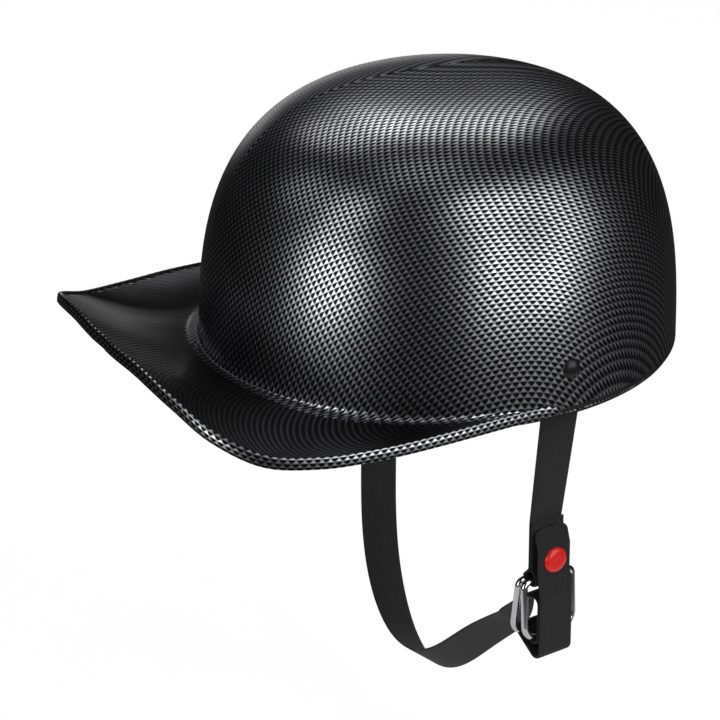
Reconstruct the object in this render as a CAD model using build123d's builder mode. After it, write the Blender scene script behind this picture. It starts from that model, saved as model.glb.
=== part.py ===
import os
from math import acos, atan2, cos, degrees, hypot, pi, radians, sin, sqrt

from build123d import *

# Frame: +Z up, -Y to the front, +X to the wearer's left, origin in the middle of the head opening

# Shell
half_width = 122.0
half_length = 136.0
dome_height = 152.5
wall = 4.0
rim_radius = 1.2
rise_power = 2.88
round_power = 3.02
dome_steps = 12
cut_margin = 20.0

# Bill
bill_reach = 66.5
bill_edge_height = 32.0
bill_thickness = 3.4
bill_sweep = 97.5
lip_height = 6.6
lip_width = 3.0
lip_round = 1.5
crease_height = 10.1
crease_side_height = 6.4
valley_depth = 4.0
root_depth = 3.7
end_sink = 0.4

# Stations over the bill: turn, reach, height of the lower edge, as shares of the sizes above
bill_station_share = (
    (0.000, 1.000, 1.00),
    (0.125, 1.072, 1.01),
    (0.220, 1.165, 0.83),
    (0.300, 1.200, 0.48),
    (0.375, 1.110, 0.16),
    (0.450, 0.910, 0.07),
    (0.540, 0.665, 0.08),
    (0.660, 0.385, 0.10),
    (0.790, 0.160, 0.08),
    (0.900, 0.050, 0.04),
    (1.000, 0.000, 0.00),
)

# Liner and pads
fit_gap = 0.3
liner_thickness = 24.0
liner_floor = 4.0
lining_thickness = 2.0
lining_floor = 1.6
welt_thickness = 1.2
welt_foot = 1.4
welt_reach = 1.6
pad_thickness = 7.0
pad_edge = 3.4
pad_round = 1.4
pad_floor = 9.0
side_pad_top = 56.0
end_pad_top = 46.0
side_pad_half_turn = 31.0
end_pad_half_turn = 36.0
channel_width = 2.4
channel_depth = 2.2
crown_pad_radius = 52.0
crown_hole_radius = 12.0

# Rivets and hangers
rivet_y = 18.75
rivet_z = 26.2
rivet_radius = 2.4
rivet_hole_gap = 0.1
run_gap = 0.05
side_gap = 0.1
seat_depth = 1.279
cap_radius = 5.7
cap_height = 3.6
cap_edge = 1.0
head_radius = 4.2
head_height = 1.0
boss_depth = 8.579
boss_radius = 7.5
boss_sink = 6.0
hanger_thickness = 1.5
hanger_top_radius = 7.0
hanger_half_width = 15.5
slot_half_width = 12.6
slot_top = 9.2
slot_height = 3.6
hanger_bar = 3.4
washer_radius = 6.0
washer_thickness = 1.0
clinch_height = 1.2
pocket_radius = 16.0
pocket_half_width = 25.0
pocket_depth = 10.5

# Webbing
web_width = 23.0
web_thickness = 1.6
web_gap = 0.1
loop_gap = 0.35
return_drop = 25.4
join_drop = 20.6
hang_drop = 29.0

# Buckle
buckle_inset = 18.979
buckle_y = 16.2
buckle_z = -105.5
buckle_yaw = 12.0
wire_radius = 2.0
bar_gap = 0.3
ring_inner_width = 30.0
ring_depth = 34.0
ring_corner = 3.4
ring_bow = 8.0
outer_ring_tilt = 3.0
inner_ring_tilt = -8.0
bar_clearance = 0.3
thread_gap = 0.8
flat_start = 6.0
left_end = 33.5
left_join = 34.0
arch_height = 9.6
arch_in_radius = 11.0
arch_out_radius = 4.0
entry_out = 24.0
entry_drop = 28.0
fold_radius = 4.0
fold_drop = 46.0
tab_gap = 0.3
hinge_gap = 0.05
tab_end = 31.0
tab_lean = 3.4
tab_corner = 5.0

# Snap
snap_height = 12.0
snap_stack = 4.4
snap_flange_radius = 4.2
snap_flange = 0.8
stud_radius = 2.1
stud_height = 2.0
stud_play = 0.5
socket_radius = 5.0
socket_roof = 0.8
socket_gap = 0.25
post_radius = 1.4
post_gap = 0.1
red_cap_radius = 7.4
red_cap_height = 2.6
red_cap_edge = 0.9

# Sewing
thread_width = 0.8
thread_height = 0.4
stitch_margin = 2.2
ring_stitch_low = 22.0
ring_stitch_high = 31.5
hanger_stitch_high = 21.0
hanger_stitch_low = 25.6

# Route of the long webbing from its hanger to the rings: across and down as shares of the span
# and drop below, forward lean as a share of the rivet's place, and the turn about the run in degrees
loop_inset = 11.579
loop_drop = 216.0
long_route_share = (
    (-0.993, 0.260, 0.930, 0),
    (-0.963, 0.440, 0.820, 0),
    (-0.927, 0.602, 0.700, 0),
    (-0.867, 0.770, 0.590, -3),
    (-0.743, 0.905, 0.510, -11),
    (-0.532, 0.990, 0.430, -25),
    (-0.275, 1.003, 0.380, -37),
    (-0.037, 0.954, 0.430, -38),
    (0.183, 0.868, 0.530, -35),
    (0.394, 0.776, 0.660, -31),
    (0.568, 0.700, 0.780, -20),
)


def ring_radius(turn):
    """Plan radius of the shell's rim at a turn in degrees from the front."""
    angle = radians(turn)
    return 1 / hypot(sin(angle) / half_width, cos(angle) / half_length)


def dome_curve(inset):
    """Points up the dome, from the rim to the crown, for a surface inset from the outer face."""
    points = []
    for step in range(dome_steps + 1):
        rise = sin(pi / 2 * step / dome_steps)
        radius = (1 - min(rise, 1) ** rise_power) ** (1 / round_power) if rise < 1 else 0
        points.append(((half_length - inset) * radius, (dome_height - inset) * rise))
    return points


def dome_radius(inset, height):
    """Radius along Y of the dome surface at an inset and a height over the rim."""
    rise = height / (dome_height - inset)
    return (half_length - inset) * (1 - rise**rise_power) ** (1 / round_power)


def dome_rise(inset, reach):
    """Height over the rim of the dome surface at an inset and a radius along Y."""
    share = reach / (half_length - inset)
    return (dome_height - inset) * (1 - share**round_power) ** (1 / rise_power)


def side_reach(y, height):
    """Distance across from the middle to the dome's outer face at a place along Y and a height."""
    return half_width * sqrt((dome_radius(0, height) / half_length) ** 2 - (y / half_length) ** 2)


def width_scale(inset):
    """Width over length of the plan ellipse at an inset."""
    return (half_width - inset) / (half_length - inset)


def dome_solid(inset, floor, edge_round=0.0):
    """Closed dome from a floor height up to its crown."""
    points = dome_curve(inset)
    radius = half_length - inset
    with BuildPart() as solid:
        with BuildSketch(Plane.YZ):
            with BuildLine():
                Polyline((0, points[-1][1]), (0, floor), (radius - edge_round, floor))
                if edge_round:
                    RadiusArc((radius - edge_round, floor), (radius, floor + edge_round), -edge_round)
                if floor + edge_round < 0:
                    Line((radius, floor + edge_round), (radius, 0))
                start = (radius, max(0, floor + edge_round))
                Spline(start, *points[1:], tangents=[(0, 1), (-1, 0)])
            make_face()
        revolve(axis=Axis.Z)
    return solid.part.scale((width_scale(inset), 1, 1))


def rim_ring(outer, inner, low, high):
    """Ring between two insets of the rim's ellipse, added to the part being built."""
    with BuildSketch(Plane.XY.offset(low)) as ring:
        Ellipse(half_width - outer, half_length - outer)
        Ellipse(half_width - inner, half_length - inner, mode=Mode.SUBTRACT)
    extrude(ring.sketch, amount=high - low)


def radial_plane(turn):
    """Upright plane through the Z axis, its x running outward at a turn from the front."""
    angle = radians(turn)
    return Plane(origin=(0, 0, 0), x_dir=(sin(angle), -cos(angle), 0), z_dir=(-cos(angle), -sin(angle), 0))


def bill_section(turn, reach, edge):
    """Closed outline of the bill in one upright plane: valley, bead, lip and underside."""
    share = abs(turn) / bill_sweep
    rim = ring_radius(turn)
    root = rim - root_depth
    out = rim + reach
    crest = edge + lip_height
    crease = crease_side_height + (crease_height - crease_side_height) * cos(share * pi / 2) ** 2
    foot = out - lip_width
    middle = (rim + foot) / 2 if reach > lip_width else (root + foot) / 2
    valley = (crease + crest - lip_round) / 2 - valley_depth * (reach / bill_reach)
    under = bill_thickness
    with BuildLine() as outline:
        Spline((root, crease), (middle, valley), (foot, crest - lip_round))
        ThreePointArc((foot, crest - lip_round), ((foot + out) / 2, crest), (out, crest - lip_round))
        Polyline((out, crest - lip_round), (out, edge), (foot, edge), (foot, crest - lip_round - under))
        Spline((foot, crest - lip_round - under), (middle, valley - under), (root, crease - under))
        Line((root, crease - under), (root, crease))
    return outline.line


# Places measured in from the dome's side at the rivets
rivet_reach = side_reach(rivet_y, rivet_z)
cap_seat = rivet_reach - seat_depth
boss_face = rivet_reach - boss_depth
pocket_floor = boss_face - pocket_depth
buckle_x = rivet_reach - buckle_inset
loop_span = rivet_reach - loop_inset


def side_plane(x):
    """Plane across X at a place, seen from the wearer's left: x forward to back, y up."""
    return Plane(origin=(x, rivet_y, rivet_z), x_dir=(0, 1, 0), z_dir=(1, 0, 0))


hang_plane = Plane(origin=(0, rivet_y, rivet_z), x_dir=(1, 0, 0), z_dir=(0, -1, 0))
yaw = radians(buckle_yaw)
buckle_out = Vector(cos(yaw), sin(yaw), 0)
buckle_plane = Plane(origin=(buckle_x, buckle_y, buckle_z), x_dir=buckle_out, z_dir=(sin(yaw), -cos(yaw), 0))


def buckle_face(out):
    """Plane facing out of the buckle, its x across the webbing and its y up."""
    return Plane(buckle_plane.from_local_coords((out, 0, 0)), x_dir=(-sin(yaw), cos(yaw), 0), z_dir=buckle_out)


def finish(build, name):
    """Label a finished piece and write it."""
    build.part.label = name
    export_step(build.part, f"parts/{name}.step")


os.makedirs("parts", exist_ok=True)

# Outer shell: dome, bill, rivet bosses and holes
bill_turns = [(-turn, reach, edge) for turn, reach, edge in reversed(bill_station_share[1:])]
bill_turns += list(bill_station_share)
shell_body = dome_solid(0, 0, rim_radius)
shell_void = dome_solid(wall, -cut_margin)
with BuildPart() as bill:
    for turn_share, reach_share, edge_share in bill_turns:
        turn = turn_share * bill_sweep
        reach = bill_reach * reach_share - end_sink * abs(turn_share)
        with BuildSketch(radial_plane(turn)):
            add(bill_section(turn, reach, bill_edge_height * edge_share))
            make_face()
    loft()

# Stepped holes that take the rivets and seat their caps
with BuildPart() as rivet_holes:
    for side in (1, -1):
        with BuildSketch(side_plane(side * (boss_face - wall))):
            Circle(rivet_radius + rivet_hole_gap)
        extrude(amount=side * cut_margin)
        with BuildSketch(side_plane(side * cap_seat)):
            Circle(cap_radius + rivet_hole_gap)
        extrude(amount=side * cut_margin)

with BuildPart() as outer_shell:
    add(shell_body)
    add(bill.part)
    add(shell_void, mode=Mode.SUBTRACT)
    for side in (1, -1):
        with BuildSketch(side_plane(side * boss_face)):
            Circle(boss_radius)
        extrude(amount=side * boss_sink)
    add(rivet_holes.part, mode=Mode.SUBTRACT)
finish(outer_shell, "outer_shell")

# Pockets that let the webbing swing between the shell and the liner
pocket_reach = (boss_face - pocket_floor) + cut_margin
with BuildPart() as strap_pockets:
    for side in (1, -1):
        with BuildSketch(side_plane(side * pocket_floor)):
            Circle(pocket_radius)
            with Locations((0, -rivet_z)):
                Rectangle(2 * pocket_half_width, 2 * liner_floor)
            make_hull()
        extrude(amount=side * pocket_reach)

# Impact liner
liner_out = wall + fit_gap
liner_in = liner_out + liner_thickness
liner_body = dome_solid(liner_out, -cut_margin)
liner_void = dome_solid(liner_in, -cut_margin)
with BuildPart() as eps_liner:
    add(liner_body)
    add(liner_void, mode=Mode.SUBTRACT)
    split(bisect_by=Plane.XY.offset(liner_floor), keep=Keep.TOP)
    add(strap_pockets.part, mode=Mode.SUBTRACT)
    fillet(eps_liner.faces().sort_by(Axis.Z)[0].inner_wires().edges(), lining_thickness)
finish(eps_liner, "eps_liner")

# Cloth lining: a dome under the liner with a turned-out skirt that covers the liner's edge
lining_out = liner_in + fit_gap
lining_in = lining_out + lining_thickness
skirt_out = liner_out + welt_thickness + fit_gap
lining_body = dome_solid(lining_out, -cut_margin)
lining_void = dome_solid(lining_in, -cut_margin)
with BuildPart() as comfort_lining:
    add(lining_body)
    add(lining_void, mode=Mode.SUBTRACT)
    split(bisect_by=Plane.XY.offset(lining_floor), keep=Keep.TOP)
    rim_ring(skirt_out, lining_out + lining_thickness / 2, lining_floor, liner_floor - fit_gap)
    add(strap_pockets.part, mode=Mode.SUBTRACT)
finish(comfort_lining, "comfort_lining")

# Rubber welt: an upright leg inside the shell and a foot under its edge
welt_low = -fit_gap - welt_foot
with BuildPart() as rim_welt:
    rim_ring(liner_out, liner_out + welt_thickness, welt_low, liner_floor - fit_gap)
    rim_ring(welt_reach, liner_out + welt_thickness / 2, welt_low, -fit_gap)
finish(rim_welt, "rim_welt")

# Comfort pads: crowned cushions with drawn-in sides and stitched channels
pad_back = lining_in + fit_gap


def edge_pad(middle_turn, half_turn, top, channels):
    """Cushion along the inside of the head opening, with upright channels."""
    middle = (pad_floor + top) / 2
    back = [(dome_radius(pad_back, height), height) for height in (pad_floor, middle, top)]
    front_low = (back[0][0] - pad_edge, pad_floor)
    front_mid = (back[1][0] - pad_thickness, middle)
    front_top = (back[2][0] - pad_edge, top)
    with BuildPart() as pad:
        with BuildSketch(radial_plane(middle_turn - half_turn)) as section:
            with BuildLine():
                ThreePointArc(*back)
                Line(back[2], front_top)
                ThreePointArc(front_top, front_mid, front_low)
                Line(front_low, back[0])
            make_face()
            fillet(section.vertices(), pad_round)
        revolve(axis=Axis.Z, revolution_arc=2 * half_turn)
        spread = 2 * half_turn / (channels + 1)
        for number in range(channels):
            turn = middle_turn - half_turn + spread * (number + 1)
            with BuildSketch(radial_plane(turn)) as groove:
                with BuildLine():
                    ThreePointArc(front_low, front_mid, front_top)
                trace(line_width=2 * channel_depth)
            extrude(amount=channel_width / 2, both=True, mode=Mode.SUBTRACT)
    return pad.part.scale((width_scale(pad_back), 1, 1))


for name, middle_turn, half_turn, top, channels in (
    ("brow_pad", 0, end_pad_half_turn, end_pad_top, 3),
    ("nape_pad", 180, end_pad_half_turn, end_pad_top, 3),
    ("temple_pad_left", 90, side_pad_half_turn, side_pad_top, 2),
    ("temple_pad_right", -90, side_pad_half_turn, side_pad_top, 2),
):
    with BuildPart() as pad:
        add(edge_pad(middle_turn, half_turn, top, channels))
    finish(pad, name)

# Crown pad: an oval ring cushion that follows the crown round an open middle
crown_middle = (crown_hole_radius + crown_pad_radius) / 2
crown_back = [(reach, dome_rise(pad_back, reach)) for reach in (crown_hole_radius, crown_middle, crown_pad_radius)]
crown_in = (crown_hole_radius, crown_back[0][1] - pad_edge)
crown_mid = (crown_middle, crown_back[1][1] - pad_thickness)
crown_out = (crown_pad_radius, crown_back[2][1] - pad_edge)
with BuildPart() as crown_round:
    with BuildSketch(Plane.YZ) as section:
        with BuildLine():
            ThreePointArc(*crown_back)
            Line(crown_back[2], crown_out)
            ThreePointArc(crown_out, crown_mid, crown_in)
            Line(crown_in, crown_back[0])
        make_face()
        fillet(section.vertices(), pad_round)
        with Locations(crown_mid):
            Circle(channel_depth, mode=Mode.SUBTRACT)
    revolve(axis=Axis.Z)
with BuildPart() as crown_pad:
    add(crown_round.part.scale((width_scale(pad_back), 1, 1)))
finish(crown_pad, "crown_pad")

# Inner faces of the hanger stack, outermost first
hanger_out = boss_face - side_gap
hanger_in = hanger_out - hanger_thickness
washer_out = hanger_in - side_gap
washer_in = washer_out - washer_thickness
clinch_in = washer_in - clinch_height

# Webbing runs beside the hanger's bar
outer_run = hanger_out + loop_gap + web_thickness / 2
inner_run = hanger_in - loop_gap - web_thickness / 2
bar_top = -slot_top - slot_height
loop_top = bar_top + loop_gap + web_thickness / 2
turn_radius = (outer_run - inner_run) / 2 - web_gap
layer = web_thickness + web_gap

# Rivet caps, rivets, washers and hangers, the same on both sides
for side, word in ((1, "left"), (-1, "right")):
    with BuildPart() as rivet_cap:
        with BuildSketch(Plane.XZ) as section:
            with BuildLine():
                Polyline((0, cap_height), (0, head_height), (head_radius, head_height), (head_radius, 0))
                Polyline((head_radius, 0), (cap_radius, 0), (cap_radius, cap_edge))
                Spline((cap_radius, cap_edge), (0, cap_height), tangents=[(-0.4, 1), (-1, 0)])
            make_face()
        revolve(axis=Axis.Z)
    rivet_cap.part.locate(Plane(side_plane(side * cap_seat).origin, x_dir=(0, 1, 0), z_dir=(side, 0, 0)).location)
    finish(rivet_cap, f"rivet_cap_{word}")

    with BuildPart() as rivet:
        with BuildSketch(side_plane(side * cap_seat)):
            Circle(head_radius - rivet_hole_gap)
        extrude(amount=side * head_height)
        with BuildSketch(side_plane(side * cap_seat)):
            Circle(rivet_radius)
        extrude(amount=-side * (cap_seat - clinch_in))
        with BuildSketch(side_plane(side * clinch_in)):
            Circle(head_radius)
        extrude(amount=side * clinch_height)
    finish(rivet, f"rivet_{word}")

    with BuildPart() as washer:
        with BuildSketch(side_plane(side * washer_in)):
            Circle(washer_radius)
            Circle(rivet_radius + run_gap, mode=Mode.SUBTRACT)
        extrude(amount=side * washer_thickness)
    finish(washer, f"washer_{word}")

    with BuildPart() as hanger:
        with BuildSketch(side_plane(side * hanger_in)) as plate:
            Circle(hanger_top_radius)
            with Locations((0, bar_top - hanger_bar / 2)):
                RectangleRounded(2 * hanger_half_width, hanger_bar, hanger_bar / 2 - web_gap)
            with Locations((0, -slot_top - slot_height / 2)):
                Rectangle(2 * hanger_half_width, slot_height)
            make_hull()
            Circle(rivet_radius + run_gap, mode=Mode.SUBTRACT)
            with Locations((0, -slot_top - slot_height / 2)):
                RectangleRounded(2 * slot_half_width, slot_height, slot_height / 4, mode=Mode.SUBTRACT)
        extrude(amount=side * hanger_thickness)
    finish(hanger, f"hanger_{word}")

# Places in the buckle, measured out from its upright plane and up from the ring bars
outer_bar = (wire_radius + bar_gap / 2, 0)
inner_bar = (-wire_radius - bar_gap / 2, 0)
tilt_out = radians(outer_ring_tilt)
tilt_in = radians(inner_ring_tilt)
outer_arc = (outer_bar[0] + ring_depth * sin(tilt_out), -ring_depth * cos(tilt_out))
inner_arc = (inner_bar[0] + ring_depth * sin(tilt_in), -ring_depth * cos(tilt_in))
loop_out = outer_bar[0] + wire_radius + bar_clearance + web_thickness / 2
loop_low = -wire_radius - bar_clearance - web_thickness / 2
loop_round = -loop_low
layer_out = layer / 2
return_face = layer_out + web_thickness / 2
thread_radius = wire_radius + thread_gap + web_thickness / 2
front_run = outer_arc[0] + thread_radius
tab_run = front_run + web_thickness + tab_gap
fold_centre = (tab_run - fold_radius, -fold_drop + fold_radius)
fold_low = fold_centre[1] - fold_radius
snap_run = return_face + snap_stack + web_thickness / 2


def crossing_angle(start, end, radius):
    """Direction from one circle's centre to where a crossing belt leaves it for an equal circle."""
    span = hypot(end[0] - start[0], end[1] - start[1])
    heading = atan2(end[1] - start[1], end[0] - start[0])
    return degrees(heading + acos(2 * radius / span))


def outside_angle(start, start_radius, end, end_radius):
    """Direction from the centres to where an open belt touches two circles, on its lower side."""
    span = hypot(end[0] - start[0], end[1] - start[1])
    heading = atan2(end[1] - start[1], end[0] - start[0])
    return degrees(heading - acos((start_radius - end_radius) / span))


def on_circle(centre, radius, angle):
    """Point of a circle at an angle in degrees."""
    return (centre[0] + radius * cos(radians(angle)), centre[1] + radius * sin(radians(angle)))


def webbing_section(plane):
    """One cut across the webbing, for a loft."""
    with BuildSketch(plane) as cut:
        Rectangle(web_width, web_thickness)
    return cut.sketch


def hanger_loop(side):
    """Webbing folded through the hanger's slot: return end, fold over the bar, run down to the rim."""
    outer = side * outer_run
    inner = side * inner_run
    beside = side * (inner_run + layer)
    with BuildSketch(hang_plane) as fold:
        with BuildLine():
            FilletPolyline(
                (beside, -return_drop),
                (beside, -join_drop),
                (outer, bar_top - hanger_bar),
                (outer, loop_top),
                (inner, loop_top),
                (inner, -hang_drop),
                radius=turn_radius,
            )
        trace(line_width=web_thickness)
    extrude(fold.sketch, amount=web_width / 2, both=True)


# Short webbing: hanger loop, a run with a slight turn, and the sewn loop round the ring bars
left_top = Plane(hang_plane.from_local_coords((inner_run, -hang_drop, 0)), x_dir=(0, 1, 0), z_dir=(0, 0, -1))
left_low = Plane(
    buckle_plane.from_local_coords((-layer_out, left_join, 0)), x_dir=(-sin(yaw), cos(yaw), 0), z_dir=(0, 0, -1)
)
left_mid = Plane(
    (left_top.origin + left_low.origin) / 2,
    x_dir=left_top.x_dir + left_low.x_dir,
    z_dir=left_low.origin - left_top.origin,
)
with BuildPart() as strap_left:
    hanger_loop(1)
    loft([webbing_section(plane) for plane in (left_top, left_mid, left_low)])
    with BuildSketch(buckle_plane):
        with BuildLine():
            FilletPolyline(
                (-layer_out, left_join),
                (-layer_out, flat_start),
                (-loop_out, loop_round / 2),
                (-loop_out, loop_low),
                (loop_out, loop_low),
                (loop_out, loop_round / 2),
                (layer_out, flat_start),
                (layer_out, left_end),
                radius=[loop_round, loop_round / 2, loop_round, loop_round, loop_round / 2, loop_round],
            )
        trace(line_width=web_thickness)
    extrude(amount=web_width / 2, both=True)
    with BuildSketch(buckle_face(-loop_out)):
        with Locations((0, snap_height)):
            Circle(post_radius + post_gap)
    extrude(amount=2 * loop_out, mode=Mode.SUBTRACT)
finish(strap_left, "strap_left")

# Long webbing: hanger loop, the hanging run with its turn, and the threading through both rings
route = []
for across_share, drop_share, lean_share, turn in long_route_share:
    route.append((Vector(loop_span * across_share, rivet_y * lean_share, -loop_drop * drop_share), turn))
right_top = Plane(hang_plane.from_local_coords((-inner_run, -hang_drop, 0)), x_dir=(0, 1, 0), z_dir=(0, 0, -1))
entry = buckle_plane.from_local_coords((-entry_out, -entry_drop, 0))
arch_foot = buckle_plane.from_local_coords((-loop_out / 2, -arch_height, 0))
right_end = Plane(entry, x_dir=(-sin(yaw), cos(yaw), 0), z_dir=arch_foot - entry)
places = [right_top.origin] + [place for place, turn in route] + [right_end.origin]
leave = crossing_angle(outer_arc, inner_arc, thread_radius)
tail = outside_angle(inner_arc, thread_radius, fold_centre, fold_radius) % 360
with BuildPart() as strap_right:
    hanger_loop(-1)
    cuts = [webbing_section(right_top)]
    for number, (place, turn) in enumerate(route):
        run = (places[number + 2] - places[number]).normalized()
        flat = (Vector(0, 1, 0) - run * run.Y).normalized()
        edge = flat.rotate(Axis((0, 0, 0), run), turn)
        cuts.append(webbing_section(Plane(place, x_dir=edge, z_dir=run)))
    cuts.append(webbing_section(right_end))
    loft(cuts)
    with BuildSketch(buckle_plane):
        with BuildLine():
            FilletPolyline(
                (-entry_out, -entry_drop),
                (-loop_out / 2, -arch_height),
                (front_run, -arch_height),
                (front_run, outer_arc[1]),
                radius=[arch_in_radius, arch_out_radius],
            )
            CenterArc(outer_arc, thread_radius, 0, leave - 360)
            Line(on_circle(outer_arc, thread_radius, leave), on_circle(inner_arc, thread_radius, leave - 180))
            CenterArc(inner_arc, thread_radius, leave - 180, tail - leave + 180)
            Line(on_circle(inner_arc, thread_radius, tail), on_circle(fold_centre, fold_radius, tail))
            CenterArc(fold_centre, fold_radius, tail, 270 - tail)
        trace(line_width=web_thickness)
    extrude(amount=web_width / 2, both=True)
finish(strap_right, "strap_right")

# Free end of the long webbing, folded up and snapped to the short one
with BuildPart() as strap_tab:
    with BuildSketch(buckle_plane):
        with BuildLine():
            FilletPolyline(
                (fold_centre[0] + hinge_gap, fold_low),
                (tab_run, fold_low),
                (tab_run, -arch_height),
                (snap_run, snap_height - red_cap_radius - web_gap),
                (snap_run, snap_height + red_cap_radius + web_gap),
                (tab_lean, tab_end),
                radius=[fold_radius - hinge_gap, fold_radius, fold_radius, fold_radius],
            )
        trace(line_width=web_thickness)
    extrude(amount=web_width / 2, both=True)
    fillet(strap_tab.faces().sort_by(Axis.Z)[-1].edges().sort_by(SortBy.LENGTH)[:2], tab_corner)
    with BuildSketch(buckle_face(0)):
        with Locations((0, snap_height)):
            Circle(post_radius + post_gap)
    extrude(amount=tab_run + web_thickness, mode=Mode.SUBTRACT)
finish(strap_tab, "strap_tab")

# Chrome D-rings, one wire each: a straight bar with round corners and a deep bow
ring_half = ring_inner_width / 2 + wire_radius
for name, bar, tilt in (("d_ring_outer", outer_bar, tilt_out), ("d_ring_inner", inner_bar, tilt_in)):
    face = buckle_out * cos(tilt) + Vector(0, 0, sin(tilt))
    bar_plane = Plane(buckle_plane.from_local_coords((*bar, 0)), x_dir=(-sin(yaw), cos(yaw), 0), z_dir=face)
    with BuildPart() as d_ring:
        with BuildLine(bar_plane) as bow:
            side_end = -ring_depth / 2
            FilletPolyline(
                (-ring_half, side_end), (-ring_half, 0), (ring_half, 0), (ring_half, side_end), radius=ring_corner
            )
            FilletPolyline(
                (ring_half, side_end),
                (ring_half, -ring_depth),
                (-ring_half, -ring_depth),
                (-ring_half, side_end),
                radius=ring_bow,
            )
        path = bow.wire()
        with BuildSketch(Plane(path @ 0, z_dir=path % 0)):
            Circle(wire_radius)
        sweep(path=path)
    finish(d_ring, name)

# Snap: stud and eyelet on the short webbing, socket and red cap on the tab
with BuildPart() as snap_stud:
    with BuildSketch(buckle_face(return_face)):
        with Locations((0, snap_height)):
            Circle(snap_flange_radius)
    extrude(amount=snap_flange)
    with BuildSketch(buckle_face(return_face)):
        with Locations((0, snap_height)):
            Circle(stud_radius)
    extrude(amount=snap_flange + stud_height)
    with BuildSketch(buckle_face(-return_face - snap_flange)):
        with Locations((0, snap_height)):
            Circle(post_radius)
    extrude(amount=2 * return_face + snap_flange)
    fillet(snap_stud.edges().filter_by(GeomType.CIRCLE).sort_by(Axis(Vector(0, 0, 0), buckle_out))[-1], stud_play)
finish(snap_stud, "snap_stud")

with BuildPart() as snap_eyelet:
    with BuildSketch(buckle_face(-return_face - snap_flange)):
        with Locations((0, snap_height)):
            Circle(snap_flange_radius)
            Circle(post_radius + run_gap, mode=Mode.SUBTRACT)
    extrude(amount=snap_flange)
finish(snap_eyelet, "snap_eyelet")

socket_in = return_face + snap_flange + socket_gap
socket_out = snap_run - web_thickness / 2
with BuildPart() as snap_socket:
    with BuildSketch(buckle_face(socket_in)):
        with Locations((0, snap_height)):
            Circle(socket_radius)
    extrude(amount=socket_out - socket_in)
    with BuildSketch(buckle_face(socket_in)):
        with Locations((0, snap_height)):
            Circle(stud_radius + stud_play)
    extrude(amount=socket_out - socket_in - socket_roof, mode=Mode.SUBTRACT)
finish(snap_socket, "snap_socket")

cap_face = snap_run + web_thickness / 2
with BuildPart() as snap_cap:
    with BuildSketch(Plane.XZ):
        with BuildLine():
            Polyline((0, red_cap_height), (0, -web_thickness), (post_radius, -web_thickness), (post_radius, 0))
            Polyline((post_radius, 0), (red_cap_radius, 0), (red_cap_radius, red_cap_edge))
            Spline((red_cap_radius, red_cap_edge), (0, red_cap_height), tangents=[(-0.3, 1), (-1, 0)])
        make_face()
    revolve(axis=Axis.Z)
cap_centre = buckle_plane.from_local_coords((cap_face, snap_height, 0))
snap_cap.part.locate(Plane(cap_centre, x_dir=(-sin(yaw), cos(yaw), 0), z_dir=buckle_out).location)
finish(snap_cap, "snap_cap")


def box_stitch(low, high):
    """Sewn box with a cross, drawn as thread on a face of the webbing."""
    middle = (low + high) / 2
    half_across = web_width / 2 - stitch_margin
    half_up = (high - low) / 2
    reach = degrees(atan2(half_up, half_across))
    with Locations((0, middle)):
        Rectangle(2 * half_across, 2 * half_up)
        Rectangle(2 * (half_across - thread_width), 2 * (half_up - thread_width), mode=Mode.SUBTRACT)
        for turn in (reach, -reach):
            SlotCenterToCenter(2 * hypot(half_across, half_up) - 2 * thread_width, thread_width, rotation=turn)


# Sewing at both hangers and above the rings
for side, word in ((1, "left"), (-1, "right")):
    with BuildPart() as stitches:
        with BuildSketch(side_plane(side * (inner_run - web_thickness / 2))):
            box_stitch(-hanger_stitch_low, -hanger_stitch_high)
        extrude(amount=-side * thread_height)
    finish(stitches, f"stitches_{word}_hanger")
with BuildPart() as stitches:
    with BuildSketch(buckle_face(return_face)):
        box_stitch(ring_stitch_low, ring_stitch_high)
    extrude(amount=thread_height)
finish(stitches, "stitches_left_ring")
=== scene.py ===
# %% [markdown]
# A half shell riding helmet, dressed for the camera. The frame brings in the imported solids, all in
# metres and in one place. Each step below replaces a plain solid by a finer surface, or gives a solid
# its finish.

# %% Load the frame
import math

import bmesh
import bpy
import numpy as np
from mathutils import Matrix, Vector


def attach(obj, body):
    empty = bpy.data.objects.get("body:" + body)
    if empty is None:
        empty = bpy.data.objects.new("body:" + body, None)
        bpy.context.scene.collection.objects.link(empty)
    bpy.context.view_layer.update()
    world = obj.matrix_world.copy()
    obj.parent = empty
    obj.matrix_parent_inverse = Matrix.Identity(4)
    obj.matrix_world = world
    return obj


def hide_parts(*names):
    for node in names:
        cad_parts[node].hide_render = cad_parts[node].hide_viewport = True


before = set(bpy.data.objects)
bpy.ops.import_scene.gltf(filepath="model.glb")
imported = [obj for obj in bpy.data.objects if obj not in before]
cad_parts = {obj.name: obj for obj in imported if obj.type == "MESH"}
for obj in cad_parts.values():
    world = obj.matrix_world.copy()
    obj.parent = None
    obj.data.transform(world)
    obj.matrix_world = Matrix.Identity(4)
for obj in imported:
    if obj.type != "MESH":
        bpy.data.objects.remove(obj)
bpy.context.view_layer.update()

# %% [markdown]
# The helmet's own sizes, in millimetres. The dome is an oval whose radius shrinks with height by two
# powers, the way a moulded shell goes from straight sides to a full crown. The brim is a sweep of one
# section round the front, and its reach and height follow a short table.

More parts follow.
